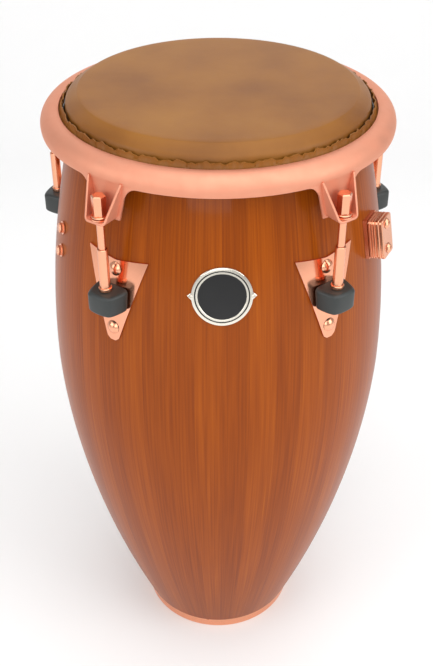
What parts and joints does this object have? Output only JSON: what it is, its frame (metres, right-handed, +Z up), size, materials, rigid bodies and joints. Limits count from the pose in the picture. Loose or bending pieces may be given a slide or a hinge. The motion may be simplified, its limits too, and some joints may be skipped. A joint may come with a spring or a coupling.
{
  "type": "conga drum",
  "caption": "Tall barrel-shaped hand drum: staved wooden shell, hide head under a tuned crown, tension bolts with side plates, badge and clamp bracket.",
  "frame": {"origin": "on the drum's axis at the floor under the foot", "axes": "+Z up along the drum's axis, the badge faces -Y"},
  "size_m": [0.4152, 0.4115, 0.762],
  "materials": {
    "wood": "amber varnish, gloss",
    "hide": "rawhide, satin",
    "rose_steel": "rose gold plating",
    "bare_steel": "zinc plated",
    "rubber": "black, satin",
    "badge_metal": "nickel, satin"
  },
  "bodies": {
    "drum": {"badge": "badge_metal", "badge_rivet_left": "badge_metal", "badge_rivet_right": "badge_metal", "base_ring": "rose_steel", "base_ring_nail_1": "rose_steel", "base_ring_nail_2": "rose_steel", "base_ring_nail_3": "rose_steel", "carriage_bolt_lower_1": "rose_steel", "carriage_bolt_lower_2": "rose_steel", "carriage_bolt_lower_3": "rose_steel", "carriage_bolt_lower_4": "rose_steel", "carriage_bolt_lower_5": "rose_steel", "carriage_bolt_upper_1": "rose_steel", "carriage_bolt_upper_2": "rose_steel", "carriage_bolt_upper_3": "rose_steel", "carriage_bolt_upper_4": "rose_steel", "carriage_bolt_upper_5": "rose_steel", "clamp_fixed_jaw": "rose_steel", "clamp_saddle": "rose_steel", "clamp_strap": "bare_steel", "flesh_hoop": "bare_steel", "head_skin": "hide", "lug_protector_1": "rubber", "lug_protector_2": "rubber", "lug_protector_3": "rubber", "lug_protector_4": "rubber", "lug_protector_5": "rubber", "lug_receiver_1": "rose_steel", "lug_receiver_2": "rose_steel", "lug_receiver_3": "rose_steel", "lug_receiver_4": "rose_steel", "lug_receiver_5": "rose_steel", "nut_strap_1": "bare_steel", "nut_strap_2": "bare_steel", "nut_strap_3": "bare_steel", "nut_strap_4": "bare_steel", "nut_strap_5": "bare_steel", "shell": "wood", "side_plate_1": "rose_steel", "side_plate_2": "rose_steel", "side_plate_3": "rose_steel", "side_plate_4": "rose_steel", "side_plate_5": "rose_steel", "side_screw_lower": "rose_steel", "side_screw_strap": "bare_steel", "side_screw_upper": "rose_steel"},
    "crown_body": {"crown": "rose_steel", "bolt_washer_1": "rose_steel", "bolt_washer_2": "rose_steel", "bolt_washer_3": "rose_steel", "bolt_washer_4": "rose_steel", "bolt_washer_5": "rose_steel"},
    "bolt_1": {"tension_bolt_1": "rose_steel"},
    "bolt_2": {"tension_bolt_2": "rose_steel"},
    "bolt_3": {"tension_bolt_3": "rose_steel"},
    "bolt_4": {"tension_bolt_4": "rose_steel"},
    "bolt_5": {"tension_bolt_5": "rose_steel"},
    "clamp_jaw": {"clamp_moving_jaw": "rose_steel"},
    "clamp_bolt_up": {"clamp_bolt_upper": "rose_steel"},
    "clamp_bolt_low": {"clamp_bolt_lower": "rose_steel"}
  },
  "joints": [
    {"name": "crown_slide", "type": "slide", "parent": "drum", "child": "crown_body", "axis": [0, 0, 1], "range_m": [0, 0.02]},
    {"name": "bolt_turn_1", "type": "hinge", "parent": "crown_body", "child": "bolt_1", "pos_m": [0.11756, -0.1618, 0.692], "axis": [0, 0, 1], "range_deg": [0, 5110]},
    {"name": "bolt_turn_2", "type": "hinge", "parent": "crown_body", "child": "bolt_2", "pos_m": [0.19021, 0.0618, 0.692], "axis": [0, 0, 1], "range_deg": [0, 5110]},
    {"name": "bolt_turn_3", "type": "hinge", "parent": "crown_body", "child": "bolt_3", "pos_m": [0, 0.2, 0.692], "axis": [0, 0, 1], "range_deg": [0, 5110]},
    {"name": "bolt_turn_4", "type": "hinge", "parent": "crown_body", "child": "bolt_4", "pos_m": [-0.19021, 0.0618, 0.692], "axis": [0, 0, 1], "range_deg": [0, 5110]},
    {"name": "bolt_turn_5", "type": "hinge", "parent": "crown_body", "child": "bolt_5", "pos_m": [-0.11756, -0.1618, 0.692], "axis": [0, 0, 1], "range_deg": [0, 5110]},
    {"name": "clamp_slide", "type": "slide", "parent": "drum", "child": "clamp_jaw", "axis": [0.8699, -0.4625, 0.1714], "range_m": [0, 0.006]},
    {"name": "clamp_turn_up", "type": "hinge", "parent": "clamp_jaw", "child": "clamp_bolt_up", "pos_m": [0.17529, -0.0932, 0.6438], "axis": [0.8699, -0.4625, 0.1714], "range_deg": [0, 1705]},
    {"name": "clamp_turn_low", "type": "hinge", "parent": "clamp_jaw", "child": "clamp_bolt_low", "pos_m": [0.17968, -0.09554, 0.61523], "axis": [0.8699, -0.4625, 0.1714], "range_deg": [0, 1705]}
  ],
  "couplings": [
    {"joint": "bolt_turn_1", "follows": "crown_slide", "rad_per_m": 4452.7},
    {"joint": "bolt_turn_2", "follows": "crown_slide", "rad_per_m": 4452.7},
    {"joint": "bolt_turn_3", "follows": "crown_slide", "rad_per_m": 4452.7},
    {"joint": "bolt_turn_4", "follows": "crown_slide", "rad_per_m": 4452.7},
    {"joint": "bolt_turn_5", "follows": "crown_slide", "rad_per_m": 4452.7},
    {"joint": "clamp_turn_up", "follows": "clamp_slide", "rad_per_m": 4947.4},
    {"joint": "clamp_turn_low", "follows": "clamp_slide", "rad_per_m": 4947.4}
  ]
}
